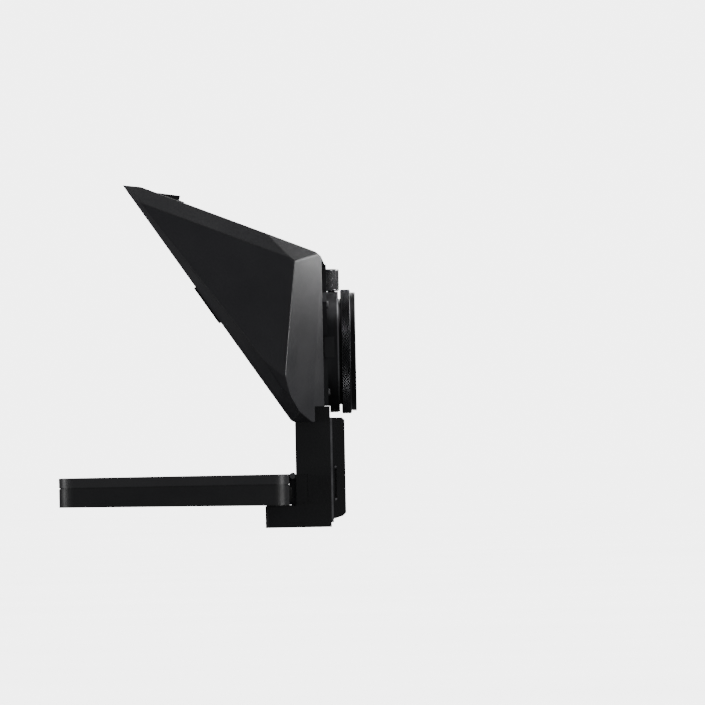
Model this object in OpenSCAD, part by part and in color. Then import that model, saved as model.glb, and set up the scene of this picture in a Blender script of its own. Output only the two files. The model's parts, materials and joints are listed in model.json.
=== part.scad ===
// Lens-mounted teleprompter with a built-in screen: hood, angled mirror, arm and fold-up screen.
// +X points towards the camera, Y runs across the width and +Z is up.
// The origin is on the optical axis, at the shoulder where the adapter ring meets the lens.

/* [Hood] */
// Half of the hood's width at its widest crease
hood_half = 111; // [108:0.5:113]
// Height of the hood's front tip above the optical axis
tip_z = 108.9; // [106:0.1:112]
// Distance of the hood's front tip ahead of the lens shoulder
tip_x = -144.2; // [-148:0.1:-142]
// Thickness of the moulded hood wall
hood_wall = 2.4; // [2:0.1:3]
// Lean of the two rear facets away from upright, in degrees
facet_lean = 5.75; // [4:0.25:7]

/* [Mirror] */
// Thickness of the coated mirror glass
glass_t = 3; // [2:0.5:3]
// Width of the frame border around the glass
frame_border = 4; // [3:0.5:5]

/* [Collar] */
// Radius of the bore that takes the adapter ring
collar_bore_r = 34.05; // [33:0.05:34.5]
// Outer radius of the collar
collar_r = 39; // [38:0.5:39.5]
// Radial running clearance of turning and sliding round parts
fit_gap = 0.05; // [0.02:0.01:0.08]
// Radius of the knurled flange of the adapter ring
flange_r = 40; // [39:0.5:41]
// Radius of the male filter thread, smooth over its crests
thread_r = 38.4; // [37:0.1:38.4]

/* [Arm] */
// Half of the arm's width
arm_half = 57; // [54:1:60]
// Wall thickness of the arm casting
arm_wall = 3; // [2.5:0.5:3.5]
// Radius of the tripod thread in the foot
tripod_r = 3.175; // [3:0.025:4.8]

/* [Screen] */
// Half of the screen housing's width
screen_half = 112.5; // [110:0.5:116]
// Radius of the screen housing's upright edges
screen_corner = 9; // [6:0.5:12]
// Length of the screen's window along the housing
window_len = 115; // [112:1:118]
// Width of the screen's window
window_w = 198; // [190:1:204]

/* [Hidden] */
$fn = 48;
big = 400;
eps = 0.01;

// Side outline of the hood, as [x, z] points
brow = [-132.5, tip_z - 1.3];
roof_end = [-21.4, 64.1];
back_x = -17.8;
hood_floor = -45;
rim_foot = [-39.4, -43.8];
rim_top = [tip_x, tip_z];
hood_side = [rim_top, rim_foot, [-37, hood_floor], [back_x, hood_floor], [back_x, 60.9],
             roof_end, brow];

// Plan outline of the hood: straight sides, then a facet on each side that turns in to the back
crease_x = -40.6;
back_half = 71;
plan_end = 12;
facet_slope = (hood_half - back_half) / (back_x - crease_x);
tail_half = hood_half - facet_slope * (plan_end - crease_x);
hood_plan = [[-300, -hood_half - 3.5], [crease_x, -hood_half], [plan_end, -tail_half],
             [plan_end, tail_half], [crease_x, hood_half], [-300, hood_half + 3.5]];

// Chamfers along the roof, the brow and the rim: drop below the edge and run in from the side
roof_drop = 11.4;
roof_run = 14;
brow_drop = 9;
brow_run = 8;
rim_drop = 14;
rim_run = 42;
rim_spread = 2.93;

// The rim line runs from its foot to the tip. Places inside the hood are [along, height over it]
rim_dir = unit(rim_top - rim_foot);
rim_angle = atan2(rim_dir.y, rim_dir.x);
crease_rise = 10.5;
rim_flare = tan(rim_spread) * rim_run / rim_drop;
rim_foot_half = hood_half - crease_rise * rim_run / rim_drop;
lip = 8;
open_start = 9;
open_end = 150;
frame_start = 3.5;
frame_end = 157;
seal_t = 0.6;
frame_cap = 1.4;
frame_floor = hood_wall + 0.1;
glass_floor = frame_floor + seal_t;
glass_top = glass_floor + glass_t;
clip_start = 78;
clip_end = 105;
clip_rise = 1.3;

// Collar, lens ring and clamp
frame_back = -15;
collar_back = -8.6;
cover_back = -7.6;
flange_front = -6.4;
spigot_front = -16.6;
thread_len = 3.2;
sleeve_back = -4.4;
ring_bore = 30.5;
notch_x = -23.9;
notch_z = -35;
screw_x = -12;
knob_r = 5.4;
knob_z = 38.9;
knob_top = 53.2;
shaft_r = 2.4;
latch_z = 3;

// Arm, foot and rear cover
arm_front = -36.8;
arm_back = -14.3;
spine_back = -13;
foot_front = -56.8;
foot_top = -98.6;
foot_bottom = -112.6;
cover_rear = -5;
cover_half = 50;
slot_ends = [-74, -94.8];
block_back = -29.4;
block_top = -78.7;
block_bottom = -97;
bush_x = -38;

// Screen housing and its hinge
screen_front = -188.6;
screen_rear = -41.2;
screen_top = -78.3;
screen_seam = -84.4;
seam_gap = 0.6;
screen_low = -98.1;
screen_low_front = -97;
shell_wall = 2;
hinge_x = -39;
hinge_z = -79.4;
knuckle_r = 2.1;
pin_r = 1;
hinge_half = 52;
knuckles = 7;
window_x = (screen_front + screen_rear) / 2;
key_z = -91;
key_places = [-158, -144, -130];
port_places = [-90, -68];

function unit(v) = v / norm(v);
function left(v) = [-v.y, v.x];
// A convex outline, counter-clockwise, with every side moved in by t
function inset(p, t) = [for (i = [0:len(p) - 1])
    let (a = p[(i + len(p) - 1) % len(p)], b = p[i], c = p[(i + 1) % len(p)],
         m = left(unit(b - a)), n = left(unit(c - b)))
    b + t * (m + n) / (1 + m * n)];
function rim_half(s) = rim_foot_half + rim_flare * s;
// A point on the rear facet of the +Y side
function on_facet(x, z) = [x, hood_half - facet_slope * ((x - crease_x) * cos(facet_lean)
                                                         - z * sin(facet_lean)), z];
// Normal of the plane through three points, pointing away from the middle of the hood
function away(p) = let (n = unit(cross(p[1] - p[0], p[2] - p[0])))
    n * ([-60, 0, 40] - p[0]) > 0 ? -n : n;
// A point on the rim, s from its foot and e in from its side edge
function rim_spot(s, e) = [rim_foot.x + s * rim_dir.x, rim_half(s) - e, rim_foot.y + s * rim_dir.y];
// The plane that chamfers the facet's top edge, and those that round its lower corner
facet_cuts = [[on_facet(-36, 57.9), on_facet(-22.3, 61.9), [-41.2, 94.4, 71.4]],
              [on_facet(-42.3, -15), on_facet(-39.2, -28.5), [-56, hood_half, -4.74]],
              [on_facet(-39.9, -27), on_facet(-33.8, -38.2), rim_spot(10, 3)],
              [on_facet(-34.7, -37.4), on_facet(-28.2, -43), rim_spot(3, 1)]];

// Extrudes an [x, z] outline across the width
module side(outline, half) {
    rotate([90, 0, 0]) linear_extrude(2 * half, center = true) polygon(outline);
}
// Extrudes a [y, z] outline along X from x0 to x1
module along(x0, x1) {
    translate([x0, 0, 0]) rotate([90, 0, 90]) linear_extrude(x1 - x0) children();
}
module rod(r, x0, x1) {
    translate([x0, 0, 0]) rotate([0, 90, 0]) cylinder(r = r, h = x1 - x0, $fn = 96);
}
module tube(ro, ri, x0, x1) {
    difference() {
        rod(ro, x0, x1);
        rod(ri, x0 - 1, x1 + 1);
    }
}
module box(lo, hi) {
    translate(lo) cube(hi - lo);
}
module mirrored() {
    children();
    mirror([0, 1, 0]) children();
}
// A long bar through [x, z] point p, whose upper corners are chamfered by drop and run
module chamfered_bar(p, angle, half, drop, run, t) {
    outline = [[-half, -big], [half, -big], [half, -drop], [half - run, 0], [run - half, 0],
               [-half, -drop]];
    translate([p.x, 0, p.y]) rotate([0, -angle, 0]) rotate([90, 0, 90])
        linear_extrude(2 * big, center = true) polygon(inset(outline, t));
}
// Everything on the inner side of the plane through three points, moved in by t
module below(points, t) {
    n = away(points);
    translate(points[0] - t * n) rotate([0, acos(n.z), atan2(n.y, n.x)])
        translate([-big, -big, -2 * big]) cube(2 * big);
}
// The hood as a solid, with every face moved in by t
module hood_form(t) {
    roof_angle = atan2(roof_end.y - brow.y, roof_end.x - brow.x);
    brow_angle = atan2(brow.y - rim_top.y, brow.x - rim_top.x);
    out = left(rim_dir);
    rim_point = rim_foot + (rim_drop - crease_rise) * out;
    wide = hood_half + 3;
    intersection() {
        side(inset(hood_side, t), big);
        translate([crease_x, 0, 0]) rotate([0, facet_lean, 0]) translate([-crease_x, 0, -big])
            linear_extrude(2 * big) polygon(inset(hood_plan, t));
        chamfered_bar(roof_end, roof_angle, wide - 1, roof_drop, roof_run, t);
        chamfered_bar(brow, brow_angle, wide, brow_drop, brow_run, t);
        chamfered_bar(rim_point, rim_angle + rim_spread, hood_half, rim_drop, rim_run, t);
        intersection_for(cut = facet_cuts) intersection() {
            below(cut, t);
            mirror([0, 1, 0]) below(cut, t);
        }
    }
}
// Places children in the rim's own frame: X along the rim from its foot, Y across, Z into the hood
module on_rim() {
    translate([rim_foot.x, 0, rim_foot.y]) rotate([0, -rim_angle, 0]) mirror([0, 0, 1]) children();
}
// A slab that widens along the rim with the hood, inset by side from the hood's outer edge
module rim_slab(s0, s1, h0, h1, side_inset) {
    a = rim_half(s0) - side_inset;
    b = rim_half(s1) - side_inset;
    on_rim() translate([0, 0, h0]) linear_extrude(h1 - h0)
        polygon([[s0, -a], [s1, -b], [s1, b], [s0, a]]);
}
// Screw with its head on the plane it is placed on and its shank going down
module screw(head_r, head_h, shank_r, shank_l) {
    difference() {
        union() {
            translate([0, 0, -head_h]) cylinder(r = head_r, h = head_h);
            translate([0, 0, -head_h - shank_l]) cylinder(r = shank_r, h = shank_l + eps);
        }
        translate([0, 0, -0.6 * head_h]) cylinder(r = head_r * 0.5, h = head_h, $fn = 6);
    }
}
module screw_hole(head_r, head_h, shank_r, shank_l) {
    translate([0, 0, -head_h]) cylinder(r = head_r, h = head_h + 1);
    translate([0, 0, -head_h - shank_l]) cylinder(r = shank_r, h = shank_l + 1);
}

// ---------- lens ring ----------
module adapter_ring() {
    color("#2a2a2c") difference() {
        union() {
            rod(flange_r, flange_front, 0);
            rod(thread_r, -eps, thread_len);
        }
        rod(ring_bore, flange_front - 1, thread_len + 1);
        rod(ring_bore + 4, -3, thread_len + 1);
        rod(ring_bore + 2, flange_front - 1, sleeve_back);
    }
}
// Sleeve that carries the ring in the collar; its back end sits in the flange
module ring_sleeve() {
    color("#2a2a2c") difference() {
        union() {
            rod(collar_bore_r - fit_gap, spigot_front, flange_front);
            rod(ring_bore + 2 - fit_gap, flange_front - eps, sleeve_back);
        }
        rod(ring_bore, spigot_front - 1, 0);
    }
}

// ---------- hood and mirror ----------
frame_screw_places = [18, 140];
module frame_screw_sites() {
    for (s = frame_screw_places) mirrored()
        on_rim() translate([s, rim_half(s) - frame_inset - frame_border / 2, 0]) children();
}
frame_inset = 9.6;
module catch_place() {
    roof_angle = atan2(brow.y - roof_end.y, roof_end.x - brow.x);
    translate([brow.x, 0, brow.y]) rotate([0, roof_angle, 0]) children();
}
catch_start = 10.2;
catch_end = 24.9;
catch_skirt = 28.6;
catch_half = 14;
catch_gap = 0.15;
module hood_shell() {
    color("#1c1c1e") difference() {
        hood_form(0);
        difference() {
            hood_form(hood_wall);
            side([[notch_x - hood_wall, -big], [big, -big], [big, notch_z + hood_wall],
                  [notch_x - hood_wall, notch_z + hood_wall]], big);
        }
        side([[notch_x, -big], [0, -big], [0, notch_z], [notch_x, notch_z]], big);
        rim_slab(open_start, open_end, -5, hood_wall + 1, lip);
        rod(36, back_x - 10, 0);
        catch_place() box([13, -7, -8], [24, 7, 1]);
        back_screw_sites() rod(1.3, back_x - 6, 0);
    }
}
module glass_frame() {
    color("#232325") difference() {
        rim_slab(frame_start, frame_end, frame_floor, glass_top + frame_cap, frame_inset);
        rim_slab(frame_start + frame_border, frame_end - frame_border, frame_floor - 1, glass_top,
                 frame_inset + frame_border);
        rim_slab(open_start + 1, open_end - 1, frame_floor - 1, glass_top + 3, frame_inset + 6);
        frame_screw_sites() cylinder(r = 0.9, h = 20);
    }
}
module mirror_glass() {
    color("#8899a0") rim_slab(frame_start + frame_border + 0.3, frame_end - frame_border - 0.3,
                              glass_floor, glass_top, frame_inset + frame_border + 0.3);
}
module glass_seal() {
    color("#101010") difference() {
        rim_slab(frame_start + frame_border + 0.3, frame_end - frame_border - 0.3, frame_floor,
                 glass_floor, frame_inset + frame_border + 0.3);
        rim_slab(open_start + 2, open_end - 2, frame_floor - 1, glass_floor + 1, frame_inset + 7);
    }
}
module rim_clips() {
    color("#1a1a1c") mirrored() difference() {
        on_rim() translate([0, 0, -clip_rise]) linear_extrude(clip_rise)
            polygon([[clip_start, rim_half(clip_start) - lip], [clip_end, rim_half(clip_end) - lip],
                     [clip_end, rim_half(clip_end) - 1], [clip_start, rim_half(clip_start) - 1]]);
        on_rim() translate([(clip_start + clip_end) / 2, rim_half(91.5) - 4.5, -clip_rise - 1])
            cylinder(r = 1.2, h = 1.8);
    }
}
module frame_screws() {
    color("#444444") frame_screw_sites() {
        translate([0, 0, frame_floor + 0.4]) cylinder(r = 0.8, h = 5);
        translate([0, 0, glass_top + frame_cap]) cylinder(r = 1.7, h = 1.2);
    }
}
module top_catch() {
    rise = 3.9;
    color("#161618") catch_place() {
        rotate([90, 0, 0]) linear_extrude(2 * catch_half, center = true)
            polygon([[catch_start, catch_gap], [catch_skirt, catch_gap], [catch_skirt, 1],
                     [catch_end + 0.1, 1], [catch_end, rise], [catch_start, 0.5]]);
        box([13.3, -4, -4.6], [17, 4, catch_gap + 0.1]);
        box([13.3, -6, -4.6], [20, 6, -3]);
    }
}
module catch_spring() {
    color("#b0b0b0") catch_place() mirrored() {
        box([17.1, 1, -2.3], [23.9, 1.5, -0.3]);
        box([17.1, 2.5, -2.3], [23.9, 3, -0.3]);
    }
}

// ---------- collar ----------
module back_screw_sites() {
    for (y = [-39, 39], z = [-26, 30]) translate([0, y, z]) children();
}
module back_frame() {
    color("#262628") difference() {
        union() {
            along(back_x, frame_back) polygon([[-46, -34.8], [46, -34.8], [46, 32], [40, 38],
                                               [-40, 38], [-46, 32]]);
            mirrored() box([back_x, 14, 37], [frame_back, 22, 56]);
            side([[back_x, 53.8], [frame_back, 53.8], [frame_back, 54], [back_x, 60.6]], 30);
        }
        rod(36, back_x - 1, 0);
        back_screw_sites() rod(1.3, back_x - 6, 0);
        mirrored() box([back_x + 0.5, 42, latch_z - 7], [0, 50, latch_z + 7]);
        translate([screw_x, 0, knob_z]) cylinder(r = knob_r + 0.8, h = 30);
    }
}
module back_screws() {
    color("#555555") back_screw_sites() rotate([0, 90, 0])
        translate([0, 0, frame_back + 1.2]) screw(2.4, 1.2, 1.2, 6);
}
module collar_screw_sites() {
    for (a = [60, 180, 300]) rotate([a, 0, 0]) translate([0, 0, 36.7]) children();
}
module collar_ring() {
    color("#202022") difference() {
        rod(collar_r, frame_back, collar_back);
        rod(collar_bore_r, frame_back - 1, 0);
        box([frame_back - 1, -big, -50], [arm_back + 0.3, big, notch_z + 0.1]);
        translate([screw_x, 0, 30]) cylinder(r = shaft_r + fit_gap, h = 20);
        translate([screw_x, 0, 38.6]) cylinder(r = knob_r + 0.5, h = 5);
        collar_screw_sites() rod(0.8, -13, 0);
    }
}
module collar_cover() {
    color("#a8a8aa") difference() {
        tube(38.6, collar_bore_r + 0.6, collar_back, cover_back);
        collar_screw_sites() rod(1.5, -13, 0);
    }
}
module collar_screws() {
    color("#666666") collar_screw_sites() {
        rod(1.4, collar_back, cover_back);
        rod(0.75, collar_back - 4, collar_back + eps);
    }
}
module light_seal() {
    color("#0c0c0c") tube(33, 31, back_x - 0.6, spigot_front - 0.2);
}
module clamp_pad() {
    color("#c9a24a") translate([screw_x, 0, 34.25]) cylinder(r = shaft_r, h = 1.8);
}
module thumbscrew() {
    ribs = 36;
    color("#2c2c2e") translate([screw_x, 0, 0]) {
        difference() {
            translate([0, 0, knob_z]) cylinder(r = knob_r, h = knob_top - knob_z);
            translate([0, 0, knob_top - 1]) cylinder(r = knob_r - 2, h = 2);
            for (i = [0:ribs - 1]) rotate([0, 0, i * 360 / ribs])
                translate([knob_r + 0.1, 0, knob_z + 1]) cylinder(r = 0.3, h = knob_top - knob_z - 2);
        }
        translate([0, 0, 36.1]) cylinder(r = shaft_r, h = knob_z - 36);
    }
}
// Push buttons in the two sides of the back frame that free the hood
module latch_right() {
    color("#18181a") {
        box([back_x + 0.8, 44.8, latch_z - 6.5], [frame_back + 4.5, 49.5, latch_z + 6.5]);
        box([back_x + 0.8, 43.6, latch_z - 3], [frame_back - 0.3, 45, latch_z + 3]);
    }
}
module latch_left() {
    mirror([0, 1, 0]) latch_right();
}
module spring_right() {
    color("#b0b0b0") for (z = [latch_z - 5.2, latch_z + 4.6])
        box([back_x + 1, 42.1, z], [frame_back - 0.5, 44.7, z + 0.6]);
}
module spring_left() {
    mirror([0, 1, 0]) spring_right();
}

// ---------- arm and foot ----------
heel_r = 3;
toe_r = 3;
arm_gap = 0.03;
arm_outline = concat([[arm_front, hood_floor - arm_gap], [arm_front, foot_top], [foot_front, foot_top],
                      [foot_front, foot_bottom]],
                     [for (a = [270:15:360])
                         [arm_back - heel_r, foot_bottom + heel_r] + heel_r * [cos(a), sin(a)]],
                     [[arm_back, notch_z - arm_gap], [notch_x + arm_gap, notch_z - arm_gap],
                      [notch_x + arm_gap, hood_floor - arm_gap]]);
cavity_front = arm_front + 11;
module arm_screw_sites() {
    for (y = [-48, 48], z = [-52, -106]) translate([0, y, z]) children();
}
module foot_screw_sites() {
    for (x = [-49, -30], y = [-50, 50]) translate([x, y, foot_bottom]) rotate([180, 0, 0]) children();
}
module arm_shell() {
    color("#1b1b1d") difference() {
        side(arm_outline, arm_half);
        mirrored() translate([foot_front, -arm_half, foot_bottom - 1]) difference() {
            translate([-1, -1, 0]) cube([toe_r + 1, toe_r + 1, foot_top - foot_bottom + 2]);
            translate([toe_r, toe_r, -1]) cylinder(r = toe_r, h = 20);
        }
        box([cavity_front, -arm_half + arm_wall, foot_bottom - 1],
            [arm_back + 1, arm_half - arm_wall, -49]);
        box([foot_front + arm_wall, -arm_half + arm_wall, foot_bottom - 1],
            [arm_back + 1, arm_half - arm_wall, foot_top - arm_wall]);
        box([arm_front - 1, -big, block_bottom - 0.1], [block_back + 0.1, big, block_top + 0.1]);
        arm_screw_sites() rod(1.5, arm_back - 6, 0);
    }
    color("#1b1b1d") difference() {
        union() {
            mirrored() box([arm_back - 6, 45, -109.5], [arm_back, arm_half - 1, -102]);
            foot_screw_sites() translate([0, 0, -11.1]) cylinder(r = 3.2, h = 9);
        }
        arm_screw_sites() rod(1.5, arm_back - 7, 0);
        foot_screw_sites() translate([0, 0, -8]) cylinder(r = 1.3, h = 9);
    }
}
module arm_core() {
    color("#7c7f83") difference() {
        union() {
            box([-24.5, -44, -110], [-21.5, 44, -50]);
            box([-53, -44, -110], [-21.5, 44, -107]);
        }
        translate([bush_x, 0, -120]) cylinder(r = 6.1, h = 30);
    }
}
module arm_spine() {
    color("#b4b6b8") difference() {
        box([arm_back, -arm_half + 0.2, foot_bottom + heel_r], [spine_back, arm_half - 0.2, -42.3]);
        arm_screw_sites() rod(1.5, arm_back - 6, 0);
    }
}
module arm_screws() {
    color("#555555") arm_screw_sites() rotate([0, 90, 0])
        translate([0, 0, spine_back]) screw(1.45, 1, 1.4, 6);
}
cover_side = [[spine_back, -107.5], [-7, -105.6], [cover_rear, -103.6], [cover_rear, -44],
              [-6.7, -42.4], [spine_back, -42.4]];
module cover_screw_sites() {
    for (y = [-42, 42], z = [-50, -98]) translate([0, y, z]) children();
}
module rear_cover() {
    color("#1e1e20") difference() {
        side(cover_side, cover_half);
        side(inset(cover_side, 1.8), cover_half - 1.8);
        box([spine_back - 1, -cover_half + 1.8, -104], [spine_back + 2, cover_half - 1.8, -45]);
        box([-11.9, -big, -93.4], [-10.7, -cover_half + 3, -75.4]);
        for (z = slot_ends) translate([-11.3, -cover_half - 1, z]) rotate([-90, 0, 0])
            cylinder(r = 0.65, h = 4);
        cover_screw_sites() rod(1.5, -20, 0);
    }
    color("#1e1e20") for (y = [-32, 32], z = [-92, -62])
        translate([0, y, z]) rod(2, -8.2, cover_rear - 1.8 + eps);
}
module cover_screws() {
    color("#666666") {
        cover_screw_sites() rotate([0, 90, 0])
            translate([0, 0, cover_rear]) screw(1.45, 1, 1.4, 6.8);
        for (z = slot_ends) translate([-11.3, -cover_half - 0.1, z]) rotate([-90, 0, 0])
            cylinder(r = 0.62, h = 1.8);
    }
}
module slot_trim() {
    color("#08080a") box([-12.8, -cover_half + 1.9, -94], [-10, -cover_half + 2.9, -75]);
}
module control_board() {
    color("#1f5a34") {
        box([-9.4, -36, -96], [-8.2, 36, -58]);
        box([-8.2, -12, -80], [-7.2, 8, -68]);
        box([-10.6, 15, -90], [-9.4, 27, -76]);
    }
}
module foot_cover() {
    color("#161618") difference() {
        box([foot_front + arm_wall + 0.1, -arm_half + arm_wall + 0.1, foot_bottom],
            [arm_back - 0.1, arm_half - arm_wall - 0.1, foot_bottom + 2]);
        translate([bush_x, 0, foot_bottom - 1]) cylinder(r = 6.2, h = 4);
        foot_screw_sites() screw_hole(2.5, 1.2, 1.3, 6);
    }
}
module foot_screws() {
    color("#555555") foot_screw_sites() screw(2.4, 1.2, 1.2, 6);
}
module rest_pads() {
    color("#101010") for (y = [-38, 38])
        box([foot_front + 0.8, y - 12, foot_top], [screen_rear + 1.1, y + 12, foot_top + 0.38]);
}
module tripod_bush() {
    color("#c8a85a") translate([bush_x, 0, foot_bottom]) difference() {
        union() {
            cylinder(r = 6, h = 10.5);
            translate([0, 0, 2.1]) cylinder(r = 8.5, h = 0.5);
        }
        translate([0, 0, -1]) cylinder(r = tripod_r, h = 10);
    }
}

// ---------- hinge ----------
module hinge_screw_sites(x, turn) {
    for (y = [-36, 0, 36]) translate([x, y, -89]) rotate([0, turn, 0]) children();
}
module hinge_block() {
    color("#1c1c1e") difference() {
        box([arm_front, -arm_half, block_bottom], [block_back, arm_half, block_top]);
        hinge_screw_sites(arm_front, -90) cylinder(r = 1.2, h = 12, center = true);
    }
}
knuckle_len = 2 * hinge_half / knuckles;
knuckle_gap = 0.35;
// The knuckles of one leaf: every second one, from the first given
module leaf_knuckles(first) {
    for (i = [first:2:knuckles - 1])
        translate([hinge_x, -hinge_half + i * knuckle_len + knuckle_gap, hinge_z]) rotate([-90, 0, 0])
            cylinder(r = knuckle_r, h = knuckle_len - 2 * knuckle_gap);
}
// The strips that join one leaf's knuckles to its plate
module leaf_straps(first, x0, x1) {
    for (i = [first:2:knuckles - 1])
        box([x0, -hinge_half + i * knuckle_len + knuckle_gap, -84],
            [x1, -hinge_half + (i + 1) * knuckle_len - knuckle_gap, hinge_z]);
}
module pin_bore() {
    translate([hinge_x, -60, hinge_z]) rotate([-90, 0, 0]) cylinder(r = pin_r + fit_gap, h = 120);
}
module hinge_leaf_arm() {
    color("#3a3a3c") difference() {
        union() {
            leaf_knuckles(0);
            leaf_straps(0, arm_front - 1, arm_front);
            box([arm_front - 1, -hinge_half, foot_top], [arm_front, hinge_half, -82.5]);
            mirrored() box([screen_rear + 1.15, 43, foot_top], [arm_front - 1 + eps, 50, -80]);
        }
        pin_bore();
        hinge_screw_sites(arm_front, -90) cylinder(r = 1.25, h = 12, center = true);
    }
}
module hinge_leaf_screen() {
    color("#3a3a3c") difference() {
        union() {
            leaf_knuckles(1);
            leaf_straps(1, screen_rear, screen_rear + 1);
            box([screen_rear, -hinge_half, -97.9], [screen_rear + 1, hinge_half, -82.5]);
        }
        pin_bore();
        hinge_screw_sites(screen_rear, 90) cylinder(r = 1.25, h = 12, center = true);
    }
}
module hinge_washers() {
    color("#c8c8c8") for (i = [1:knuckles - 1])
        translate([hinge_x, -hinge_half + i * knuckle_len - 0.2, hinge_z]) rotate([-90, 0, 0])
            difference() {
                cylinder(r = knuckle_r - 0.1, h = 0.4);
                translate([0, 0, -1]) cylinder(r = pin_r + fit_gap, h = 3);
            }
}
module hinge_pin() {
    color("#d0d0d0") translate([hinge_x, -hinge_half - 0.8, hinge_z]) rotate([-90, 0, 0]) {
        cylinder(r = pin_r, h = 2 * hinge_half + 1.6);
        cylinder(r = 1.8, h = 0.8);
        translate([0, 0, 2 * hinge_half + 0.8]) cylinder(r = 1.8, h = 0.8);
    }
}
module hinge_screws_arm() {
    color("#888888") hinge_screw_sites(arm_front - 1, -90) {
        cylinder(r = 2.1, h = 0.7);
        translate([0, 0, -6]) cylinder(r = 1.1, h = 6.2);
    }
}
module hinge_screws_screen() {
    color("#888888") hinge_screw_sites(screen_rear + 1, 90) {
        cylinder(r = 2.1, h = 0.5);
        translate([0, 0, -2.9]) cylinder(r = 1.1, h = 3.1);
    }
}

// ---------- screen ----------
// Plan outline of the screen housing with rounded corners, moved in by t
module screen_plan(t) {
    r = screen_corner - t;
    x0 = screen_front + t;
    x1 = screen_rear - t;
    y = screen_half - t;
    for (a = [0, 1], b = [-1, 1])
        translate([a == 0 ? x0 + r : x1 - r, b * (y - r)]) circle(r = r);
    translate([x0 + r, -y]) square([x1 - x0 - 2 * r, 2 * y]);
    translate([x0, -y + r]) square([x1 - x0, 2 * y - 2 * r]);
}
module screen_screw_sites() {
    for (x = [-178, -114.9, -52], y = [-106, 106]) translate([x, y, 0]) children();
}
module key_sites(extra) {
    for (x = key_places) box([x - 4.5 - extra, screen_half - 3, key_z - 2 - extra],
                             [x + 4.5 + extra, screen_half + 3, key_z + 2 + extra]);
}
module video_box(e) {
    box([port_places[0] - 7.5 - e, screen_half - 11, key_z - 2.8 - e],
        [port_places[0] + 7.5 + e, screen_half + (e > 0 ? 1 : -0.3), key_z + 2.8 + e]);
}
module power_box(e) {
    box([port_places[1] - 4.5 - e, screen_half - 8, key_z - 1.6 - e],
        [port_places[1] + 4.5 + e, screen_half + (e > 0 ? 1 : -0.3), key_z + 1.6 + e]);
}
module screen_shell() {
    belly = [[screen_front - 1, screen_seam], [screen_front - 1, screen_low_front],
             [-56, screen_low], [screen_rear + 1, screen_low], [screen_rear + 1, screen_seam]];
    color("#1f1f21") difference() {
        intersection() {
            translate([0, 0, -110]) linear_extrude(40) screen_plan(0);
            side(belly, big);
        }
        translate([0, 0, -95]) linear_extrude(40) screen_plan(shell_wall);
        translate([0, 0, screen_seam - seam_gap]) linear_extrude(5) difference() {
            screen_plan(-2);
            screen_plan(seam_gap);
        }
        key_sites(0.3);
        video_box(0.1);
        power_box(0.1);
        screen_screw_sites() translate([0, 0, -100]) {
            cylinder(r = 1.4, h = 20);
            cylinder(r = 2.8, h = 3.4);
        }
        hinge_screw_sites(screen_rear, 90) cylinder(r = 1.25, h = 12, center = true);
    }
    color("#1f1f21") for (x = [window_x - 26, window_x + 41], y = [-16, 86])
        translate([x, y, -95 - eps]) cylinder(r = 2, h = 2.5 + eps);
    color("#1f1f21") screen_screw_sites() difference() {
        translate([0, 0, -95 - eps]) cylinder(r = 3.4, h = 9);
        translate([0, 0, -100]) cylinder(r = 1.4, h = 20);
    }
}
module screen_bezel() {
    recess = 1.1;
    color("#242426") difference() {
        union() {
            difference() {
                translate([0, 0, screen_seam]) linear_extrude(screen_top - screen_seam)
                    screen_plan(0);
                translate([0, 0, screen_seam - 1]) linear_extrude(screen_top - screen_seam - 1)
                    screen_plan(shell_wall);
            }
            screen_screw_sites() translate([0, 0, -86]) cylinder(r = 3.2, h = 6.5);
        }
        box([window_x - window_len / 2, -window_w / 2, screen_top - 8],
            [window_x + window_len / 2, window_w / 2, screen_top + 1]);
        box([window_x - 64, -104, screen_top - recess], [window_x + 64, 104, screen_top + 1]);
        leaf_relief();
        screen_screw_sites() translate([0, 0, -86.5]) cylinder(r = 1, h = 5);
    }
}
// Room for the hinge barrel at the rear top edge of the screen housing
module leaf_relief() {
    translate([hinge_x, -hinge_half - 1.5, hinge_z]) rotate([-90, 0, 0])
        cylinder(r = knuckle_r + 0.35, h = 2 * hinge_half + 3);
}
module screen_glass() {
    color("#0a0c10") box([window_x - 63.8, -103.8, screen_top - 1.1],
                         [window_x + 63.8, 103.8, screen_top - 0.1]);
}
module lcd_panel() {
    color("#9aa0a6") box([window_x - 62, -101, -85], [window_x + 62, 101, screen_top - 2.1]);
}
module driver_board() {
    color("#1f5a34") {
        box([window_x - 30, -20, -92.5], [window_x + 45, 90, -91]);
        box([window_x - 10, 10, -91], [window_x + 10, 30, -89.6]);
        box([window_x - 22, 50, -91], [window_x - 12, 62, -88.8]);
    }
}
module screen_screws() {
    color("#555555") screen_screw_sites() {
        translate([0, 0, -97]) cylinder(r = 0.95, h = 14.5);
        translate([0, 0, -97.1]) cylinder(r = 2.6, h = 0.5);
    }
}
module rear_bumpers() {
    color("#0e0e0e") for (y = [-84, 84]) translate([screen_rear, y, -91]) rotate([0, 90, 0])
        cylinder(r = 4.2, h = 1.8);
}
module video_port() {
    color("#9c9ea2") difference() {
        video_box(0);
        box([port_places[0] - 6.9, screen_half - 9, key_z - 2.2],
            [port_places[0] + 6.9, screen_half + 2, key_z + 2.2]);
    }
    color("#101010") box([port_places[0] - 5.5, screen_half - 9.5, key_z - 0.4],
                         [port_places[0] + 5.5, screen_half - 2, key_z + 0.5]);
}
module power_port() {
    color("#9c9ea2") difference() {
        power_box(0);
        box([port_places[1] - 4, screen_half - 7, key_z - 1.1],
            [port_places[1] + 4, screen_half + 2, key_z + 1.1]);
    }
    color("#101010") box([port_places[1] - 3, screen_half - 7.5, key_z - 0.3],
                         [port_places[1] + 3, screen_half - 1.5, key_z + 0.4]);
}
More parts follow.
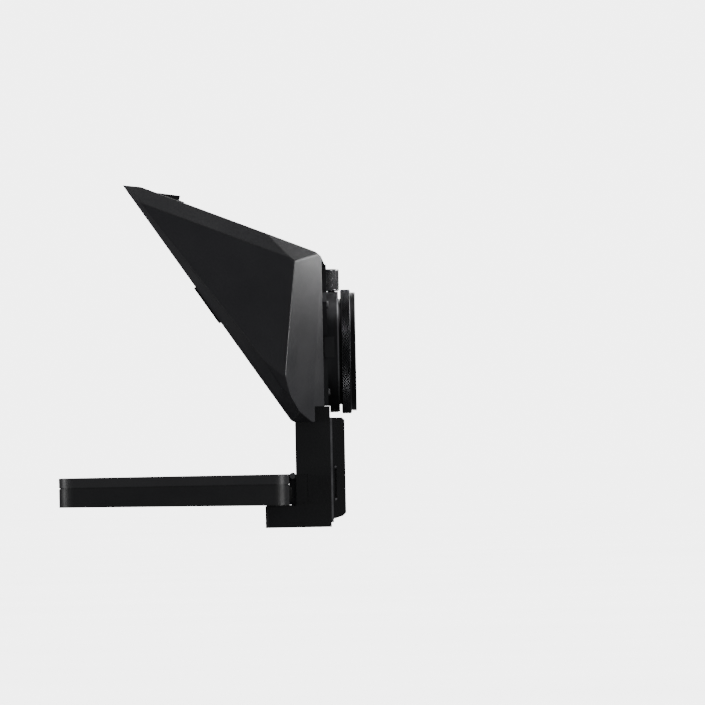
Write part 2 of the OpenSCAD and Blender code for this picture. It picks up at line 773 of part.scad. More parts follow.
module key_cap(x) {
    color("#2c2c2e") {
        box([x - 4.3, screen_half - 1.8, key_z - 1.8], [x + 4.3, screen_half + 0.8, key_z + 1.8]);
        box([x - 5.6, screen_half - 3.4, key_z - 3], [x + 5.6, screen_half - 2.5, key_z + 3]);
        box([x - 3, screen_half - 3, key_z - 1.5], [x + 3, screen_half - 1.5, key_z + 1.5]);
    }
}
module key_power() {
    key_cap(key_places[0]);
}
module key_up() {
    key_cap(key_places[1]);
}
module key_down() {
    key_cap(key_places[2]);
}

adapter_ring();
ring_sleeve();
hood_shell();
glass_frame();
mirror_glass();
glass_seal();
rim_clips();
frame_screws();
back_frame();
back_screws();
collar_ring();
collar_cover();
collar_screws();
light_seal();
top_catch();
catch_spring();
latch_left();
latch_right();
spring_left();
spring_right();
clamp_pad();
thumbscrew();
arm_shell();
arm_core();
arm_spine();
arm_screws();
rear_cover();
cover_screws();
slot_trim();
control_board();
foot_cover();
foot_screws();
rest_pads();
tripod_bush();
hinge_block();
hinge_leaf_arm();
hinge_pin();
hinge_screws_arm();
hinge_leaf_screen();
hinge_washers();
hinge_screws_screen();
screen_shell();
screen_bezel();
screen_glass();
lcd_panel();
driver_board();
screen_screws();
rear_bumpers();
video_port();
power_port();
key_power();
key_up();
key_down();
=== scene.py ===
import json
import math

import bmesh
import bpy
from mathutils import Matrix, Vector


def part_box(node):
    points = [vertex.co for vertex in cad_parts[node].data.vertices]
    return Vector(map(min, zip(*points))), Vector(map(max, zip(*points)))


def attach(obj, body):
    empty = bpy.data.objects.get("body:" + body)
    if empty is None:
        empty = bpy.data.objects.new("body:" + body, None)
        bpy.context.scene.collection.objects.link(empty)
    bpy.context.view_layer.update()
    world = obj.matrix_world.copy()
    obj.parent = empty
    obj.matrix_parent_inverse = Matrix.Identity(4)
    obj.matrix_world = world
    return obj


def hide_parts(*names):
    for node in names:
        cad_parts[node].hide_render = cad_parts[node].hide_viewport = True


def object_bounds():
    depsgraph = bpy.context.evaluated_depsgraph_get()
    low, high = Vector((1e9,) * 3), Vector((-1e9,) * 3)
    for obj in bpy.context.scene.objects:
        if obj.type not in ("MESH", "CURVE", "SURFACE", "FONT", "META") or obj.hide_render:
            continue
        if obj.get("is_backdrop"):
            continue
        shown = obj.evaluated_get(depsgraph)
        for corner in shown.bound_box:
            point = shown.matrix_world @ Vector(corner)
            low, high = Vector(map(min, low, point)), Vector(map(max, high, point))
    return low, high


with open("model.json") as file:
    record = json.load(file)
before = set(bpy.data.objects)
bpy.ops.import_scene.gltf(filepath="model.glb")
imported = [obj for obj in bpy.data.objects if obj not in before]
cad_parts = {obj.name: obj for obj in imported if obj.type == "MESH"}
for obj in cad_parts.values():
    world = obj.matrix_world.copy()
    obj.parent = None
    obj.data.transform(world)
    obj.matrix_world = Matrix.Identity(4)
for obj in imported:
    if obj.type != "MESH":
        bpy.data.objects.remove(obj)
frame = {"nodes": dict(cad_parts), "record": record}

MM = 0.001
CAD_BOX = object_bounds()
NODES = frame["nodes"]

# ------------------------------------------------ the hood's measures, in mm, as in the CAD source
# The points are (x, z). X runs from the hood's tip to the lens, Y across and Z up.
TIP = (-144.2, 108.9)
BROW = (-132.5, 107.6)
ROOF_END = (-21.4, 64.1)
BACK_X, BACK_TOP = -17.8, 60.9
FLOOR_Z, FLOOR_FRONT = -45.0, -37.0
RIM_FOOT = (-39.4, -43.8)
CREASE_X = -40.6                            # where the rear facets start, level with the lens axis
HOOD_HALF, BACK_HALF = 111.0, 71.0          # half the width ahead of the facets, and at the back
FACET_LEAN = math.radians(5.75)
WALL = 2.4
NOTCH = (-23.9, -35.0)                      # front top corner of the cut that lets the arm in
RIM_DROP, RIM_RUN = 14.0, 42.0              # slope of the chamfer along the rim
RIM_SPREAD, CREASE_RISE = math.radians(2.93), 10.5
ROOF_HALF, ROOF_DROP, ROOF_RUN = 113.0, 11.4, 14.0
BROW_HALF, BROW_DROP, BROW_RUN = 114.0, 9.0, 8.0
WINDOW_LIP, WINDOW_START, WINDOW_END = 8.0, 9.0, 150.0      # measured along the rim from its foot
LENS_HOLE_RADIUS = 36.0
FAR = 200.0                                 # well past the part on every side

# Radii in mm of the hood's rounded edges.
RIM_EDGE, BACK_EDGE, FACET_EDGE, BROAD_EDGE = 1.0, 1.2, 1.6, 3.5

SCREW_X = -12.0                             # the thumbscrew's axis, in mm
SHARP_ANGLE = math.radians(32)              # edges sharper than this are rounded or left sharp


# ------------------------------------------------ materials
class Shader:
    """A Principled material with short helpers for its procedural nodes."""

    def __init__(self, name, **values):
        self.material = bpy.data.materials.new(name)
        self.material.use_nodes = True
        self.nodes = self.material.node_tree.nodes
        self.links = self.material.node_tree.links
        self.bsdf = self.nodes["Principled BSDF"]
        self.coords = self.nodes.new("ShaderNodeTexCoord").outputs["Object"]
        for socket, value in values.items():
            self.bsdf.inputs[socket.replace("_", " ")].default_value = value

    def stretched(self, scale):
        mapping = self.nodes.new("ShaderNodeMapping")
        mapping.inputs["Scale"].default_value = scale
        self.links.new(self.coords, mapping.inputs["Vector"])
        return mapping.outputs["Vector"]

    def noise(self, scale, detail=3.0, roughness=0.55, vector=None):
        n = self.nodes.new("ShaderNodeTexNoise")
        n.inputs["Scale"].default_value = scale
        n.inputs["Detail"].default_value = detail
        n.inputs["Roughness"].default_value = roughness
        self.links.new(vector or self.coords, n.inputs["Vector"])
        return n.outputs["Fac"]

    def cells(self, scale, vector=None):
        n = self.nodes.new("ShaderNodeTexVoronoi")
        n.inputs["Scale"].default_value = scale
        self.links.new(vector or self.coords, n.inputs["Vector"])
        return n.outputs["Distance"]

    def ramp(self, fac, low, high, start=0.3, end=0.7):
        r = self.nodes.new("ShaderNodeValToRGB")
        for stop, place, colour in zip(r.color_ramp.elements, (start, end), (low, high)):
            stop.position = place
            stop.color = (*colour, 1.0)
        self.links.new(fac, r.inputs["Fac"])
        return r.outputs["Color"]

    def spread(self, fac, low, high, start=0.3, end=0.7):
        m = self.nodes.new("ShaderNodeMapRange")
        limits = {"From Min": start, "From Max": end, "To Min": low, "To Max": high}
        for socket, value in limits.items():
            m.inputs[socket].default_value = value
        self.links.new(fac, m.inputs["Value"])
        return m.outputs["Result"]

    def add(self, a, b, weight=1.0):
        m = self.nodes.new("ShaderNodeMath")
        m.operation = "MULTIPLY_ADD"
        self.links.new(b, m.inputs[0])
        m.inputs[1].default_value = weight
        self.links.new(a, m.inputs[2])
        return m.outputs["Value"]

    def colour(self, socket):
        self.links.new(socket, self.bsdf.inputs["Base Color"])

    def rough(self, socket):
        self.links.new(socket, self.bsdf.inputs["Roughness"])

    def bump(self, height, depth_mm):
        b = self.nodes.new("ShaderNodeBump")
        b.inputs["Distance"].default_value = depth_mm * MM
        self.links.new(height, b.inputs["Height"])
        self.links.new(b.outputs["Normal"], self.bsdf.inputs["Normal"])


def tint(rgb, factor):
    return tuple(c * factor for c in rgb)


def moulded_plastic(name, rgb, rough, grain_mm=0.55, depth_mm=0.035):
    """Spark-eroded moulded plastic: fine pebble grain, faint flow marks and handling marks."""
    vary = 0.22
    s = Shader(name, Specular_IOR_Level=0.5)
    handling = s.noise(38, 5)
    s.colour(s.ramp(s.add(s.noise(17, 4), s.noise(900, 2), 0.25), tint(rgb, 1 - vary),
                    tint(rgb, 1 + vary), 0.35, 0.85))
    s.rough(s.spread(handling, rough - 0.07, rough + 0.08))
    s.bump(s.add(s.cells(1 / (grain_mm * MM)), s.noise(2.2 / (grain_mm * MM), 2), 0.6), depth_mm)
    return s.material


def powder_coat(name, rgb, rough):
    """Powder-coated casting: orange-peel skin with a fine speckle."""
    s = Shader(name, Specular_IOR_Level=0.34)
    s.colour(s.ramp(s.add(s.noise(24, 4), s.noise(1500, 1), 0.3), tint(rgb, 0.8), tint(rgb, 1.25),
                    0.35, 0.9))
    s.rough(s.spread(s.noise(55, 4), rough - 0.06, rough + 0.09))
    s.bump(s.add(s.noise(620, 2), s.cells(1900), 0.35), 0.07)
    return s.material


def anodised(name, rgb, rough):
    """Black anodised aluminium with fine turning lines."""
    s = Shader(name, Metallic=0.85, Specular_IOR_Level=0.5)
    lines = s.noise(900, 2, vector=s.stretched((6.0, 0.6, 0.6)))
    s.colour(s.ramp(s.noise(45, 4), tint(rgb, 0.75), tint(rgb, 1.3)))
    s.rough(s.spread(s.add(s.noise(120, 4), lines, 0.4), rough - 0.07, rough + 0.1, 0.4, 1.0))
    s.bump(lines, 0.012)
    return s.material


def bare_metal(name, rgb, rough, grain=(0.5, 9.0, 0.5)):
    """Bare metal with directional brushing and light tarnish."""
    s = Shader(name, Metallic=1.0)
    brushing = s.noise(420, 3, vector=s.stretched(grain))
    s.colour(s.ramp(s.noise(60, 5), tint(rgb, 0.82), tint(rgb, 1.08)))
    s.rough(s.spread(brushing, rough - 0.08, rough + 0.1))
    s.bump(brushing, 0.01)
    return s.material


def rubber(name, rgb):
    s = Shader(name, Specular_IOR_Level=0.35)
    s.colour(s.ramp(s.noise(70, 4), tint(rgb, 0.7), tint(rgb, 1.5)))
    s.rough(s.spread(s.noise(200, 3), 0.72, 0.9))
    s.bump(s.noise(1400, 3), 0.05)
    return s.material


def flocked(name, rgb):
    """The hood's light-absorbing lining."""
    s = Shader(name, Specular_IOR_Level=0.15, Sheen_Weight=0.25)
    s.colour(s.ramp(s.noise(30, 5), tint(rgb, 0.7), tint(rgb, 1.4)))
    s.rough(s.spread(s.noise(2500, 2), 0.88, 0.99))
    s.bump(s.noise(3800, 3), 0.12)
    return s.material


def mirror(name):
    """Beam-splitter glass: part mirror, part clear, with faint wipe marks."""
    s = Shader(name, Transmission_Weight=0.75, Metallic=0.35, IOR=1.52, Specular_IOR_Level=0.5)
    wipes = s.noise(26, 5, vector=s.stretched((1.0, 3.0, 1.0)))
    s.colour(s.ramp(wipes, (0.60, 0.66, 0.71), (0.66, 0.72, 0.76)))
    s.rough(s.spread(wipes, 0.015, 0.05, 0.45, 0.8))
    s.bump(s.noise(60, 2), 0.004)
    return s.material


def dark_glass(name):
    """Cover glass over the panel that is switched off."""
    s = Shader(name, IOR=1.5, Specular_IOR_Level=0.5, Coat_Weight=0.6, Coat_Roughness=0.03)
    smudges = s.noise(22, 6, 0.65)
    s.colour(s.ramp(smudges, (0.0045, 0.005, 0.0065), (0.008, 0.0085, 0.0105)))
    s.rough(s.spread(smudges, 0.04, 0.13, 0.45, 0.8))
    s.bump(s.noise(45, 2), 0.004)
    return s.material


def panel(name):
    s = Shader(name, Specular_IOR_Level=0.4)
    s.colour(s.ramp(s.cells(4200), (0.010, 0.011, 0.013), (0.028, 0.030, 0.034), 0.1, 0.6))
    s.rough(s.spread(s.noise(30, 3), 0.22, 0.34))
    s.bump(s.cells(4200), 0.01)
    return s.material


def circuit_board(name, rgb):
    """Solder mask over traces that show as raised, lighter lines."""
    s = Shader(name, Specular_IOR_Level=0.5)
    brick = s.nodes.new("ShaderNodeTexBrick")
    brick.inputs["Scale"].default_value = 260
    brick.inputs["Mortar Size"].default_value = 0.03
    s.links.new(s.coords, brick.inputs["Vector"])
    trace = s.spread(brick.outputs["Fac"], 0.0, 1.0, 0.0, 1.0)
    s.colour(s.ramp(s.add(s.noise(90, 3), trace, 0.4), tint(rgb, 0.7), tint(rgb, 1.7), 0.4, 1.0))
    s.rough(s.spread(s.noise(300, 2), 0.25, 0.42))
    s.bump(trace, 0.05)
    return s.material


def make_materials():
    return {
        "hood_plastic": moulded_plastic("hood_plastic", (0.0205, 0.0202, 0.0235), 0.48),
        # Paler than hood_plastic: this colour is a painted highlight for the narrow rounded faces
        # along the rear facets' edges.
        "hood_edge_painted_highlight": moulded_plastic("hood_edge_painted_highlight", (0.034, 0.034, 0.038), 0.30, 0.4, 0.01),
        "trim_plastic": moulded_plastic("trim_plastic", (0.012, 0.012, 0.0135), 0.44, 0.4, 0.02),
        "screen_plastic": moulded_plastic("screen_plastic", (0.0095, 0.0095, 0.0108), 0.46),
        "bezel_plastic": moulded_plastic("bezel_plastic", (0.026, 0.026, 0.028), 0.42, 0.4, 0.02),
        "casting": powder_coat("casting", (0.0055, 0.0055, 0.0065), 0.56),
        "black_metal": anodised("black_metal", (0.045, 0.045, 0.048), 0.36),
        "knurled_metal": anodised("knurled_metal", (0.32, 0.32, 0.33), 0.22),
        "plate_aluminium": bare_metal("plate_aluminium", (0.26, 0.26, 0.27), 0.34),
        "steel": bare_metal("steel", (0.30, 0.30, 0.31), 0.42, (2.0, 2.0, 2.0)),
        "brass": bare_metal("brass", (0.62, 0.45, 0.20), 0.30, (3.0, 3.0, 3.0)),
        "mirror_glass": mirror("mirror_glass"),
        "cover_glass": dark_glass("cover_glass"),
        "panel": panel("panel"),
        "rubber": rubber("rubber", (0.012, 0.012, 0.012)),
        "board": circuit_board("board", (0.012, 0.095, 0.035)),
        "lining": flocked("lining", (0.006, 0.006, 0.007)),
    }


# ------------------------------------------------ mesh helpers
def new_piece(name, bm, materials):
    mesh = bpy.data.meshes.new(name)
    bm.normal_update()
    bm.to_mesh(mesh)
    bm.free()
    obj = bpy.data.objects.new(name, mesh)
    bpy.context.scene.collection.objects.link(obj)
    for m in materials:
        mesh.materials.append(m)
    return obj


def convex(planes):
    """The solid in mm on the inner side of every (point, outward normal) plane."""
    bm = bmesh.new()
    bmesh.ops.create_cube(bm, size=800)
    for point, normal in planes:
        geom = bm.verts[:] + bm.edges[:] + bm.faces[:]
        cut = bmesh.ops.bisect_plane(bm, geom=geom, dist=1e-4, plane_co=point, plane_no=normal,
                                     clear_outer=True)
        edges = [g for g in cut["geom_cut"] if isinstance(g, bmesh.types.BMEdge)]
        if len(edges) > 2:
            bmesh.ops.contextual_create(bm, geom=edges)
    bmesh.ops.recalc_face_normals(bm, faces=bm.faces)
    return bm


def block(low, high):
    size = Vector(high) - Vector(low)
    bm = bmesh.new()
    bmesh.ops.create_cube(bm, size=1, matrix=Matrix.Translation((Vector(low) + Vector(high)) / 2)
                          @ Matrix.Diagonal((*size, 1)))
    return bm


def barrel(radius, start, end):
    """A cylinder in mm round the lens axis, from x = start to x = end."""
    bm = bmesh.new()
    bmesh.ops.create_cone(bm, cap_ends=True, segments=96, radius1=radius, radius2=radius,
                          depth=end - start, matrix=Matrix.Translation(((start + end) / 2, 0, 0))
                          @ Matrix.Rotation(math.pi / 2, 4, "Y"))
    return bm


def scaled(bm):
    bmesh.ops.scale(bm, vec=(MM, MM, MM), verts=bm.verts)
    return bm


def bake(obj):
    """Turns an object's modifiers into its mesh."""
    bpy.context.view_layer.update()
    done = bpy.data.meshes.new_from_object(obj.evaluated_get(bpy.context.evaluated_depsgraph_get()))
    done.name = obj.name
    obj.modifiers.clear()
    obj.data = done


def subtract(obj, cutters):
    """Cuts solids in mm out of obj and removes them."""
    tools = [new_piece("cutter", scaled(bm), []) for bm in cutters]
    for tool in tools:
        m = obj.modifiers.new("cut", "BOOLEAN")
        m.operation, m.solver, m.object = "DIFFERENCE", "EXACT", tool
    bake(obj)
    for tool in tools:
        bpy.data.objects.remove(tool)


def smooth(obj, sharp_angle=SHARP_ANGLE):
    """Smooth faces, with edges sharper than the angle left sharp."""
    bm = bmesh.new()
    bm.from_mesh(obj.data)
    for f in bm.faces:
        f.smooth = True
    for e in bm.edges:
        e.smooth = len(e.link_faces) != 2 or e.calc_face_angle(0) < sharp_angle
    bm.to_mesh(obj.data)
    bm.free()
    w = obj.modifiers.new("normals", "WEIGHTED_NORMAL")
    w.keep_sharp = True


def add_piece(obj, body, node):
    """Lets obj ride on its body in place of the CAD node."""
    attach(obj, body)
    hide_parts(node)


# ------------------------------------------------ hood
def unit(v):
    n = math.hypot(*v)
    return (v[0] / n, v[1] / n)


RIM_DIR = unit((TIP[0] - RIM_FOOT[0], TIP[1] - RIM_FOOT[1]))
RIM_IN = (RIM_DIR[1], -RIM_DIR[0])
FACET_SLOPE = (HOOD_HALF - BACK_HALF) / (BACK_X - CREASE_X)


def rim_half(s):
    """Half the rim's width, s along it from its foot."""
    spread = math.tan(RIM_SPREAD) * RIM_RUN / RIM_DROP
    return HOOD_HALF - CREASE_RISE * RIM_RUN / RIM_DROP + spread * s


def on_rim(s, y, h):
    """A point s along the rim from its foot, h into the hood."""
    return Vector((RIM_FOOT[0] + s * RIM_DIR[0] + h * RIM_IN[0], y,
                   RIM_FOOT[1] + s * RIM_DIR[1] + h * RIM_IN[1]))


def side_planes(t):
    """Planes through the sides of the hood's side outline, moved in by t."""
    outline = [TIP, RIM_FOOT, (FLOOR_FRONT, FLOOR_Z), (BACK_X, FLOOR_Z), (BACK_X, BACK_TOP),
               ROOF_END, BROW]
    for a, b in zip(outline, outline[1:] + outline[:1]):
        d = unit((b[0] - a[0], b[1] - a[1]))
        out = (d[1], -d[0])
        yield Vector((a[0] - t * out[0], 0, a[1] - t * out[1])), Vector((out[0], 0, out[1]))


def chamfer_planes(p, angle, half, drop, run, t):
    """The top, the two sides and the two chamfers of a long bar through p."""
    up = Vector((-math.sin(angle), 0, math.cos(angle)))
    base = Vector((p[0], 0, p[1]))
    yield base - up * t, up
    for s in (-1, 1):
        across = Vector((0, s, 0))
        yield base + across * (half - t), across
        slope = (across * drop + up * run).normalized()
        yield base + across * half - up * drop - slope * t, slope


def on_facet(x, z):
    """A point on the rear facet of the +Y side."""
    run = (x - CREASE_X) * math.cos(FACET_LEAN) - z * math.sin(FACET_LEAN)
    return Vector((x, HOOD_HALF - FACET_SLOPE * run, z))


def facet_planes(t):
    """The rear facets, one on each side."""
    turn = Matrix.Rotation(FACET_LEAN, 3, "Y")
    for s in (-1, 1):
        facet = turn @ Vector((FACET_SLOPE, s, 0)).normalized()
        yield Vector((CREASE_X, s * HOOD_HALF, 0)) - facet * t, facet


def corner_planes(t):
    """The planes along the facet's top edge and round its lower corner, on both sides."""
    inside = Vector((-60, 0, 40))
    cuts = [(on_facet(-36, 57.9), on_facet(-22.3, 61.9), Vector((-41.2, 94.4, 71.4))),
            (on_facet(-42.3, -15), on_facet(-39.2, -28.5), Vector((-56, HOOD_HALF, -4.74))),
            (on_facet(-39.9, -27), on_facet(-33.8, -38.2), on_rim(10, rim_half(10) - 3, 0)),
            (on_facet(-34.7, -37.4), on_facet(-28.2, -43), on_rim(3, rim_half(3) - 1, 0))]
    for a, b, c in cuts:
        n = (b - a).cross(c - a).normalized()
        if n.dot(inside - a) > 0:
            n = -n
        for s in (1, -1):
            out = Vector((n.x, s * n.y, n.z))
            yield Vector((a.x, s * a.y, a.z)) - out * t, out


def hood_planes(t):
    """All the planes of the hood's outside, moved in by t."""
    yield from side_planes(t)
    yield from corner_planes(t)
    yield from facet_planes(t)
    roof = math.atan2(ROOF_END[1] - BROW[1], ROOF_END[0] - BROW[0])
    brow = math.atan2(BROW[1] - TIP[1], BROW[0] - TIP[0])
    rim = math.atan2(RIM_DIR[1], RIM_DIR[0])
    lift = RIM_DROP - CREASE_RISE
    rim_point = (RIM_FOOT[0] - lift * RIM_IN[0], RIM_FOOT[1] - lift * RIM_IN[1])
    yield from chamfer_planes(ROOF_END, roof, ROOF_HALF, ROOF_DROP, ROOF_RUN, t)
    yield from chamfer_planes(BROW, brow, BROW_HALF, BROW_DROP, BROW_RUN, t)
    yield from chamfer_planes(rim_point, rim + RIM_SPREAD, HOOD_HALF, RIM_DROP, RIM_RUN, t)


def hood_edge_width(edge):
    """Radius in mm of one outer edge of the hood, told by the way its two faces look."""
    faces = [f.normal for f in edge.link_faces]
    rim = Vector((-RIM_IN[0], 0, -RIM_IN[1]))
    square_on = 0.999
    if any(n.dot(rim) > square_on for n in faces):
        return RIM_EDGE
    if any(n.x > square_on or n.z < -square_on or (n.x > 0.5 and n.z > 0.5) for n in faces):
        return BACK_EDGE
    if any(n.x > 0.8 for n in faces) and all(n.z < 0.3 for n in faces):
        return FACET_EDGE
    return BROAD_EDGE


def round_hood_edges(obj):
    """Rounds every edge by its own radius, as a bevel weight."""
    bm = bmesh.new()
    bm.from_mesh(obj.data)
    layer = bm.edges.layers.float.new("bevel_weight_edge")
    for e in bm.edges:
        e[layer] = hood_edge_width(e) / BROAD_EDGE
    bm.to_mesh(obj.data)
    bm.free()
    m = obj.modifiers.new("edges", "BEVEL")
    m.limit_method, m.offset_type = "WEIGHT", "OFFSET"
    m.width, m.segments, m.profile = BROAD_EDGE * MM, 5, 0.5
    bake(obj)


def rim_window():
    """Cutter for the opening that shows the mirror."""
    low, high = (rim_half(s) - WINDOW_LIP for s in (WINDOW_START, WINDOW_END))
    corners = ((WINDOW_START, -low), (WINDOW_END, -high), (WINDOW_END, high), (WINDOW_START, low))
    outside, inside = -5.0, WALL + 1.0
    bm = bmesh.new()
    rows = [[bm.verts.new(on_rim(s, y, h)) for s, y in corners] for h in (outside, inside)]
    bm.faces.new(rows[0])
    bm.faces.new(reversed(rows[1]))
    for i in range(4):
        j = (i + 1) % 4
        bm.faces.new((rows[0][i], rows[1][i], rows[1][j], rows[0][j]))
    bmesh.ops.recalc_face_normals(bm, faces=bm.faces)
    return bm


def catch_slot():
    """Cutter for the slot in the roof that the catch slides in."""
    angle = math.atan2(BROW[1] - ROOF_END[1], ROOF_END[0] - BROW[0])
    bm = block((13, -7, -8), (24, 7, 1))
    bmesh.ops.transform(bm, verts=bm.verts, matrix=Matrix.Translation((BROW[0], 0, BROW[1]))
                        @ Matrix.Rotation(angle, 4, "Y"))
    return bm


def is_facet_edge(face):
    """True for the narrow rounded faces along a facet's front and lower edges, which get the
    painted highlight.
    """
    n = face.normal
    narrow, rearward = face.area < 8e-5, face.center.x > -46 * MM
    return narrow and rearward and -0.1 < n.x < 0.8 and -0.8 < n.z < 0.32


def line_inside(obj):
    """Gives faces that look into the hood the lining, and the narrow faces along the facets' edges
    a paler material that is a painted highlight.
    """
    planes = [(p * MM, n) for p, n in hood_planes(WALL * 0.6)]
    for f in obj.data.polygons:
        inner = all((f.center - p).dot(n) < 0 for p, n in planes)
        f.material_index = 1 if inner else 2 if is_facet_edge(f) else 0


def make_hood(mats):
    """The hood as a rounded shell, with its notch, window, lens hole and slot cut out."""
    looks = [mats[name] for name in ("hood_plastic", "lining", "hood_edge_painted_highlight")]
    hood = new_piece("hood", scaled(convex(hood_planes(0))), looks)
    round_hood_edges(hood)
    inner = new_piece("hood_core", scaled(convex(hood_planes(WALL))), [])
    subtract(inner, [block((NOTCH[0] - WALL, -FAR, -FAR), (FAR, FAR, NOTCH[1] + WALL))])
    core = bmesh.new()
    core.from_mesh(inner.data)
    bmesh.ops.scale(core, vec=(1 / MM,) * 3, verts=core.verts)
    bpy.data.objects.remove(inner)
    subtract(hood, [core, block((NOTCH[0], -FAR, -FAR), (0, FAR, NOTCH[1])), rim_window(),
                    barrel(LENS_HOLE_RADIUS, BACK_X - 10, 0), catch_slot()])
    line_inside(hood)
    smooth(hood)
    add_piece(hood, "head", "hood_shell")


# ------------------------------------------------ knurled and turned pieces
def lathe(name, rows, columns, axis, materials, loop=False):
    """Revolves (along, radius, knurl depth) rows in mm. A knurled row goes peak, valley, peak."""
    bm = bmesh.new()
    rings = []
    for k, (along, radius, depth) in enumerate(rows):
        ring = []
        for i in range(columns):
            r = radius - (depth if (i + k) % 2 else 0)
            a = 2 * math.pi * i / columns
            u, v = r * math.cos(a), r * math.sin(a)
            ring.append(bm.verts.new((along, u, v) if axis == "X" else (u, v, along)))
        rings.append(ring)
    pairs = list(zip(rings, rings[1:])) + ([(rings[-1], rings[0])] if loop else [])
    for k, (lower, upper) in enumerate(pairs):
        both = rows[k][2] and rows[(k + 1) % len(rows)][2]
        for i in range(columns):
            j = (i + 1) % columns
            a, b, c, d = lower[i], lower[j], upper[j], upper[i]
            if not both:
                bm.faces.new((a, b, c, d))
            elif (i + k) % 2:
                bm.faces.new((a, b, c))
                bm.faces.new((a, c, d))
            else:
                bm.faces.new((a, b, d))
                bm.faces.new((b, c, d))
    if not loop:
        bm.faces.new(rings[0])
        bm.faces.new(rings[-1])
    bmesh.ops.recalc_face_normals(bm, faces=bm.faces)
    obj = new_piece(name, scaled(bm), materials)
    smooth(obj, math.radians(20))
    return obj


def knurl_rows(start, end, count, radius, depth):
    return [(start + (end - start) * k / (count - 1), radius, depth) for k in range(count)]


def make_thumbscrew(mats):
    """A plain shaft under a knurled head with a dished top."""
    low, high = (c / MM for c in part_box("thumbscrew"))
    top, r = high.z, (high.x - low.x) / 2
    shaft, seat = 2.4, 38.9
    rows = [(low.z, shaft - 0.4, 0), (low.z + 0.4, shaft, 0), (seat, shaft, 0), (seat, r - 1.1, 0),
            (seat + 0.4, r - 0.5, 0), (seat + 0.8, r - 0.35, 0)]
    rows += knurl_rows(seat + 1.1, top - 1.1, 13, r, 0.8)
    rows += [(top - 0.8, r - 0.35, 0), (top - 0.25, r - 0.6, 0), (top, r - 1.1, 0),
             (top, r - 1.7, 0), (top - 0.25, r - 2.0, 0), (top - 1.0, r - 2.1, 0),
             (top - 1.0, 0.6, 0)]
    knob = lathe("thumbscrew_knurled", rows, 32, "Z", [mats["knurled_metal"]])
    knob.data.transform(Matrix.Translation((SCREW_X * MM, 0, 0)))
    add_piece(knob, "knob", "thumbscrew")


def make_lens_ring(mats):
    """A knurled flange with four turns of filter thread behind it and a stepped bore."""
    low, high = (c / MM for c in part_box("adapter_ring"))
    r, front, end = high.z, low.x, high.x
    root, crest, pitch = 37.75, 38.4, 0.7
    turn = ((0.0, root), (0.18, crest), (0.34, crest), (0.52, root))
    thread = [(0.35 + pitch * k + s, radius, 0) for k in range(4) for s, radius in turn]
    rows = [(front, r - 1.0, 0), (front + 0.35, r - 0.45, 0), (front + 0.6, r - 0.3, 0)]
    rows += knurl_rows(front + 0.9, -0.9, 7, r, 0.5)
    rows += [(-0.6, r - 0.3, 0), (-0.35, r - 0.45, 0), (0.0, r - 1.0, 0), (0.0, 37.8, 0)]
    rows += thread
    wide, bore, seat = 34.5, 30.5, 32.5
    rows += [(end, 37.3, 0), (end, wide + 0.5, 0), (end - 0.4, wide, 0), (-3.0, wide, 0),
             (-3.0, bore + 0.5, 0), (-3.4, bore, 0), (-4.4, bore, 0), (-4.4, seat, 0),
             (front, seat, 0)]
    ring = lathe("lens_ring_knurled", rows, 240, "X", [mats["black_metal"]], loop=True)
    add_piece(ring, "ring", "adapter_ring")


# ------------------------------------------------ nodes kept from the CAD
PLAIN_EDGE_MM = 0.12
EDGE_MM = {
    "arm_shell": 1.6, "rear_cover": 0.9, "screen_shell": 0.9, "screen_bezel": 0.7,
    "top_catch": 0.5, "glass_frame": 0.4, "back_frame": 0.5, "collar_ring": 0.5,
    "collar_cover": 0.2, "ring_sleeve": 0.3, "arm_spine": 0.5, "latch_left": 0.5,
    "latch_right": 0.5, "foot_cover": 0.4, "rear_bumpers": 0.8, "rest_pads": 0.15,
    "hinge_block": 0.5, "key_power": 0.35, "key_up": 0.35, "key_down": 0.35, "mirror_glass": 0.25,
    "screen_glass": 0.2, "rim_clips": 0.35, "tripod_bush": 0.25,
}

# Rounded without the clamp, which would leave their edges nearly sharp.
FREE_EDGES = ("hinge_block", "arm_spine")


def keep_node(node, material):
    """Gives a CAD node its material, rounded edges and clean shading."""
    obj = NODES[node]
    for s in obj.material_slots:
        s.material = material
    flat = obj.modifiers.new("flat", "DECIMATE")
    flat.decimate_type, flat.angle_limit = "DISSOLVE", math.radians(0.5)
    edges = obj.modifiers.new("edges", "BEVEL")
    edges.width, edges.segments = EDGE_MM.get(node, PLAIN_EDGE_MM) * MM, 3
    edges.limit_method, edges.angle_limit = "ANGLE", SHARP_ANGLE
    edges.use_clamp_overlap = node not in FREE_EDGES
    edges.harden_normals = True
    obj.modifiers.new("normals", "WEIGHTED_NORMAL").keep_sharp = True


def keep_cad_nodes(mats):
    """Keeps each CAD node that no piece replaces, in its slot's material. The bezel is paler."""
    slots = {p["node"]: p["material_slot"] for p in frame["record"]["subparts"]}
    for node, slot in slots.items():
        if not NODES[node].hide_render:
            keep_node(node, mats["bezel_plastic" if node == "screen_bezel" else slot])


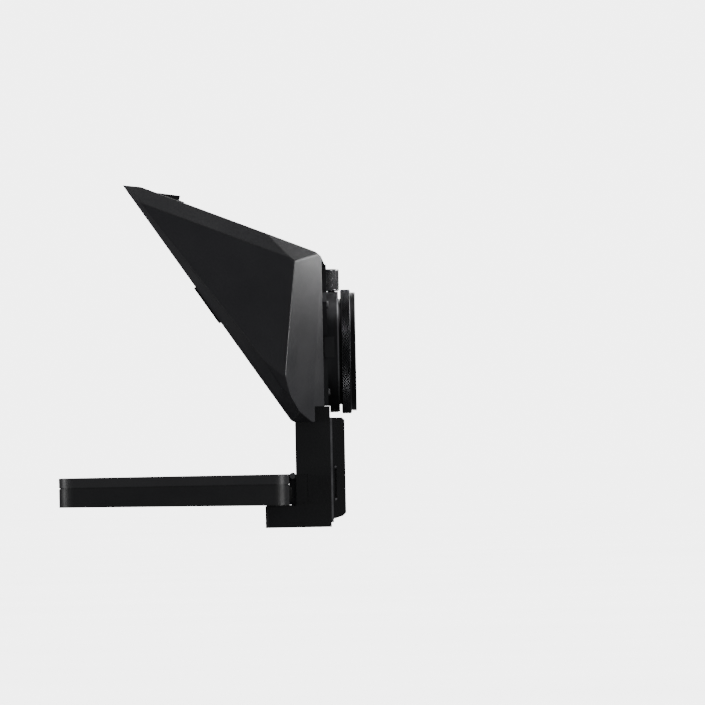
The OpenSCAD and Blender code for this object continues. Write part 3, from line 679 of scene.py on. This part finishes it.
# ------------------------------------------------ studio
def make_floor(z):
    """A pale floor that glows like the backdrop, so that no lamp leaves a bright patch on it."""
    s = Shader("studio_floor", Specular_IOR_Level=0.0, Emission_Strength=5.75)
    tone = s.noise(3, 4)
    s.colour(s.ramp(tone, (0.02, 0.02, 0.02), (0.022, 0.022, 0.022)))
    glow = s.ramp(tone, (0.84, 0.84, 0.84), (0.88, 0.88, 0.88))
    s.links.new(glow, s.bsdf.inputs["Emission Color"])
    s.rough(s.spread(s.noise(9, 3), 0.6, 0.75))
    s.bump(s.noise(300, 2), 0.02)
    bm = bmesh.new()
    bmesh.ops.create_grid(bm, x_segments=1, y_segments=1, size=40)
    bmesh.ops.translate(bm, verts=bm.verts, vec=(0, 0, z))
    floor = new_piece("studio_floor_plane", bm, [s.material])
    floor.visible_diffuse = floor.visible_glossy = False
    floor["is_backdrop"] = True


def make_world():
    """A white backdrop for the camera, and a much dimmer even light for the object."""
    world = bpy.data.worlds.new("studio")
    world.use_nodes = True
    tree = world.node_tree
    light = tree.nodes["Background"]
    light.inputs["Color"].default_value = (0.97, 0.98, 1.0, 1.0)
    light.inputs["Strength"].default_value = 0.16
    backdrop = tree.nodes.new("ShaderNodeBackground")
    backdrop.inputs["Color"].default_value = (1.0, 1.0, 1.0, 1.0)
    backdrop.inputs["Strength"].default_value = 5.0
    path = tree.nodes.new("ShaderNodeLightPath")
    mix = tree.nodes.new("ShaderNodeMixShader")
    tree.links.new(path.outputs["Is Camera Ray"], mix.inputs["Fac"])
    tree.links.new(light.outputs["Background"], mix.inputs[1])
    tree.links.new(backdrop.outputs["Background"], mix.inputs[2])
    tree.links.new(mix.outputs["Shader"], tree.nodes["World Output"].inputs["Surface"])
    bpy.context.scene.world = world


def soft_light(name, place, target, size, watts):
    """An area light at a place, aimed at a target."""
    data = bpy.data.lights.new(name, "AREA")
    data.shape = "RECTANGLE"
    data.size, data.size_y = size
    data.energy = watts
    obj = bpy.data.objects.new(name, data)
    obj.location = place
    obj.rotation_euler = (Vector(target) - Vector(place)).to_track_quat("-Z", "Y").to_euler()
    obj.visible_camera = False
    bpy.context.scene.collection.objects.link(obj)


def make_lights():
    """Lamps as place, target and size in metres, and power in watts."""
    lamps = {
        "rear_high": ((0.12, 0.03, 0.09), (-0.03, -0.09, 0.05), (0.09, 0.09), 0.36),
        "rear_low": ((0.46, -0.42, -0.07), (-0.04, -0.10, -0.08), (0.12, 0.07), 1.7),
        "front_low": ((-1.3, -0.42, -0.02), (-0.19, -0.10, -0.09), (0.5, 0.15), 4.6),
        "camera_side": ((0.25, -1.6, 0.55), (-0.10, -0.11, 0.0), (1.4, 0.9), 0.14),
        "top": ((-0.2, 0.1, 1.8), (-0.08, 0.0, 0.0), (1.2, 1.2), 7),
        "foot_strip": ((-0.36, -0.36, -0.1045), (-0.055, -0.056, -0.1045), (0.22, 0.012), 0.05),
        "far_side": ((0.1, 1.5, 0.7), (-0.08, 0.1, 0.0), (1.2, 0.8), 9),
    }
    for name, lamp in lamps.items():
        soft_light(name, *lamp)


def make_camera():
    """A long lens far off to the side, almost level, as in a catalogue picture."""
    distance, view_width, sensor_mm = 20.0, 0.4512, 36
    middle_x, roll = 0.001, math.radians(-1.1)
    near = CAD_BOX[0].y
    data = bpy.data.cameras.new("camera")
    data.sensor_width = sensor_mm
    data.lens = sensor_mm * distance / view_width
    obj = bpy.data.objects.new("camera", data)
    obj.location = (middle_x, near - distance, -0.060)
    aim = Vector((middle_x, near, -0.0011))
    look = (aim - obj.location).to_track_quat("-Z", "Y")
    obj.rotation_euler = (look.to_matrix() @ Matrix.Rotation(roll, 3, "Z")).to_euler()
    bpy.context.scene.collection.objects.link(obj)
    bpy.context.scene.camera = obj


def write_sizes():
    """Works out the CAD box and the visual model's box."""
    boxes = {"cad": CAD_BOX, "visual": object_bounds()}
    {k: [list(c) for c in b] for k, b in boxes.items()}


materials = make_materials()
make_hood(materials)
make_thumbscrew(materials)
make_lens_ring(materials)
keep_cad_nodes(materials)
make_world()
make_lights()
make_floor(CAD_BOX[0].z - 0.2 * MM)
make_camera()
write_sizes()
